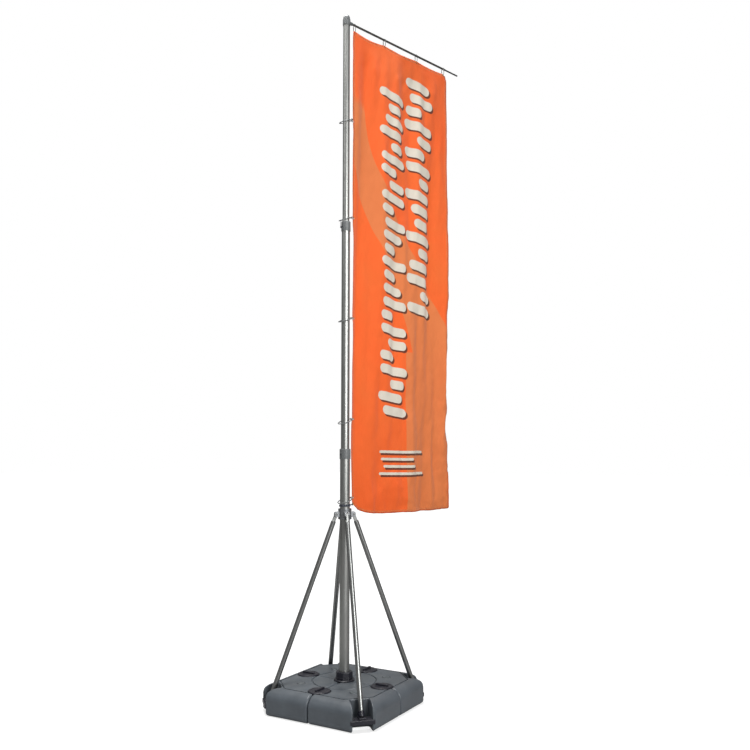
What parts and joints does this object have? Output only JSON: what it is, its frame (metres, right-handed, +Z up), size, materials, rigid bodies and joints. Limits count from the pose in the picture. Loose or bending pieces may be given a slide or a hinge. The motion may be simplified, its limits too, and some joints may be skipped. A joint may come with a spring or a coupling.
{
  "type": "telescopic banner flagpole",
  "caption": "Tall telescopic flagpole with a rectangular banner on a swivelling crossbar, braced by hinged struts on a square base of water tanks.",
  "frame": {"origin": "on the mast's axis, on the flat underside of the mast socket, at floor level", "axes": "+Z up along the mast, X and Y along the sides of the square base; the crossbar points 16 degrees from +X towards -Y"},
  "size_m": [1.6623, 0.895, 5],
  "materials": {
    "slate_plastic": "slate grey blow-moulded polyethylene, lightly orange-peeled",
    "water": "water inside the tanks, not seen",
    "black_plastic": "black moulded plastic",
    "grey_plastic": "grey moulded plastic",
    "aluminium": "satin anodised aluminium tube with fine drawn lines",
    "cast_metal": "grey cast aluminium",
    "dark_steel": "dark plated steel",
    "banner_cloth": "orange knitted polyester with a printed abstract pattern",
    "dark_cord": "dark braided tie cord"
  },
  "bodies": {
    "root": {"mast_socket": "black_plastic", "tank_back": "slate_plastic", "tank_left": "slate_plastic", "tank_front": "slate_plastic", "tank_right": "slate_plastic", "water_back": "water", "water_left": "water", "water_front": "water", "water_right": "water", "strut_bracket_back": "black_plastic", "strut_bracket_left": "black_plastic", "strut_bracket_front": "black_plastic", "strut_bracket_right": "black_plastic", "lower_tube": "aluminium", "lower_collar": "grey_plastic", "strut_hub": "cast_metal", "strut_pin_back": "dark_steel", "strut_pin_left": "dark_steel", "strut_pin_front": "dark_steel", "strut_pin_right": "dark_steel"},
    "middle": {"middle_tube": "aluminium", "middle_collar": "grey_plastic", "middle_bush": "black_plastic"},
    "upper": {"upper_tube": "aluminium", "upper_bush": "black_plastic", "swivel_stop": "grey_plastic", "mast_cap": "grey_plastic"},
    "head": {"swivel_collar": "grey_plastic", "crossbar_tube": "aluminium", "crossbar_end_rod": "dark_steel", "hook_1": "dark_steel", "hook_2": "dark_steel", "hook_3": "dark_steel", "hook_4": "dark_steel", "banner": "banner_cloth"},
    "ring_1": {"ring_1": "grey_plastic"},
    "ring_2": {"ring_2": "grey_plastic"},
    "ring_3": {"ring_3": "grey_plastic"},
    "ring_4": {"ring_4": "grey_plastic"},
    "ring_5": {"ring_5": "grey_plastic", "corner_cord": "dark_cord"},
    "lower_lock_button": {"lower_lock_button": "black_plastic"},
    "middle_lock_button": {"middle_lock_button": "black_plastic"},
    "strut_back": {"strut_back": "aluminium", "strut_foot_back": "black_plastic"},
    "strut_left": {"strut_left": "aluminium", "strut_foot_left": "black_plastic"},
    "strut_front": {"strut_front": "aluminium", "strut_foot_front": "black_plastic"},
    "strut_right": {"strut_right": "aluminium", "strut_foot_right": "black_plastic"},
    "filler_cap_back": {"filler_cap_back": "slate_plastic"},
    "filler_cap_left": {"filler_cap_left": "slate_plastic"},
    "filler_cap_front": {"filler_cap_front": "slate_plastic"},
    "filler_cap_right": {"filler_cap_right": "slate_plastic"},
    "link_rear_right": {"link_rear_right": "black_plastic"},
    "link_rear_left": {"link_rear_left": "black_plastic"},
    "link_front_left": {"link_front_left": "black_plastic"},
    "link_front_right": {"link_front_right": "black_plastic"}
  },
  "joints": [
    {"name": "middle_tube_slide", "type": "slide", "parent": "root", "child": "middle", "axis": [0, 0, 1], "range_m": [-1.44, 0], "deforming": ["banner"]},
    {"name": "upper_tube_slide", "type": "slide", "parent": "middle", "child": "upper", "axis": [0, 0, 1], "range_m": [-1.44, 0]},
    {"name": "head_swivel", "type": "hinge", "parent": "upper", "child": "head", "pos_m": [0, 0, 4.945], "axis": [0, 0, 1], "continuous": true},
    {"name": "ring_1_slide", "type": "slide", "parent": "head", "child": "ring_1", "axis": [0, 0, 1], "range_m": [0, 0.586]},
    {"name": "ring_2_slide", "type": "slide", "parent": "head", "child": "ring_2", "axis": [0, 0, 1], "range_m": [0, 1.194]},
    {"name": "ring_3_slide", "type": "slide", "parent": "head", "child": "ring_3", "axis": [0, 0, 1], "range_m": [0, 1.807]},
    {"name": "ring_4_slide", "type": "slide", "parent": "head", "child": "ring_4", "axis": [0, 0, 1], "range_m": [0, 2.408]},
    {"name": "ring_5_slide", "type": "slide", "parent": "head", "child": "ring_5", "axis": [0, 0, 1], "range_m": [0, 2.884]},
    {"name": "lower_lock_button_press", "type": "slide", "parent": "root", "child": "lower_lock_button", "axis": [0.9613, -0.2756, 0], "range_m": [0, 0.0025], "stiffness_N_per_m": 300},
    {"name": "middle_lock_button_press", "type": "slide", "parent": "middle", "child": "middle_lock_button", "axis": [0.9613, -0.2756, 0], "range_m": [0, 0.0025], "stiffness_N_per_m": 300},
    {"name": "strut_back_swing", "type": "hinge", "parent": "root", "child": "strut_back", "pos_m": [0.04455, 0.04455, 1.305], "axis": [0.7071, -0.7071, 0], "range_deg": [0, 45]},
    {"name": "strut_left_swing", "type": "hinge", "parent": "root", "child": "strut_left", "pos_m": [-0.04455, 0.04455, 1.305], "axis": [0.7071, 0.7071, 0], "range_deg": [0, 45]},
    {"name": "strut_front_swing", "type": "hinge", "parent": "root", "child": "strut_front", "pos_m": [-0.04455, -0.04455, 1.305], "axis": [-0.7071, 0.7071, 0], "range_deg": [0, 45]},
    {"name": "strut_right_swing", "type": "hinge", "parent": "root", "child": "strut_right", "pos_m": [0.04455, -0.04455, 1.305], "axis": [-0.7071, -0.7071, 0], "range_deg": [0, 45]},
    {"name": "filler_cap_back_turn", "type": "hinge", "parent": "root", "child": "filler_cap_back", "pos_m": [0.21236, 0.21236, 0.175], "axis": [0, 0, 1], "continuous": true},
    {"name": "filler_cap_left_turn", "type": "hinge", "parent": "root", "child": "filler_cap_left", "pos_m": [-0.21236, 0.21236, 0.175], "axis": [0, 0, 1], "continuous": true},
    {"name": "filler_cap_front_turn", "type": "hinge", "parent": "root", "child": "filler_cap_front", "pos_m": [-0.21236, -0.21236, 0.175], "axis": [0, 0, 1], "continuous": true},
    {"name": "filler_cap_right_turn", "type": "hinge", "parent": "root", "child": "filler_cap_right", "pos_m": [0.21236, -0.21236, 0.175], "axis": [0, 0, 1], "continuous": true},
    {"name": "link_rear_right_turn", "type": "hinge", "parent": "root", "child": "link_rear_right", "pos_m": [0.3, 0, 0.175], "axis": [0, 0, 1], "range_deg": [0, 90]},
    {"name": "link_rear_left_turn", "type": "hinge", "parent": "root", "child": "link_rear_left", "pos_m": [0, 0.3, 0.175], "axis": [0, 0, 1], "range_deg": [0, 90]},
    {"name": "link_front_left_turn", "type": "hinge", "parent": "root", "child": "link_front_left", "pos_m": [-0.3, 0, 0.175], "axis": [0, 0, 1], "range_deg": [0, 90]},
    {"name": "link_front_right_turn", "type": "hinge", "parent": "root", "child": "link_front_right", "pos_m": [0, -0.3, 0.175], "axis": [0, 0, 1], "range_deg": [0, 90]}
  ],
  "couplings": [
    {"joint": "upper_tube_slide", "follows": "middle_tube_slide", "ratio": 1},
    {"joint": "ring_1_slide", "follows": "middle_tube_slide", "ratio": -0.4044},
    {"joint": "ring_2_slide", "follows": "middle_tube_slide", "ratio": -0.8265},
    {"joint": "ring_3_slide", "follows": "middle_tube_slide", "ratio": -1.252},
    {"joint": "ring_4_slide", "follows": "middle_tube_slide", "ratio": -1.6696},
    {"joint": "ring_5_slide", "follows": "middle_tube_slide", "ratio": -2}
  ]
}
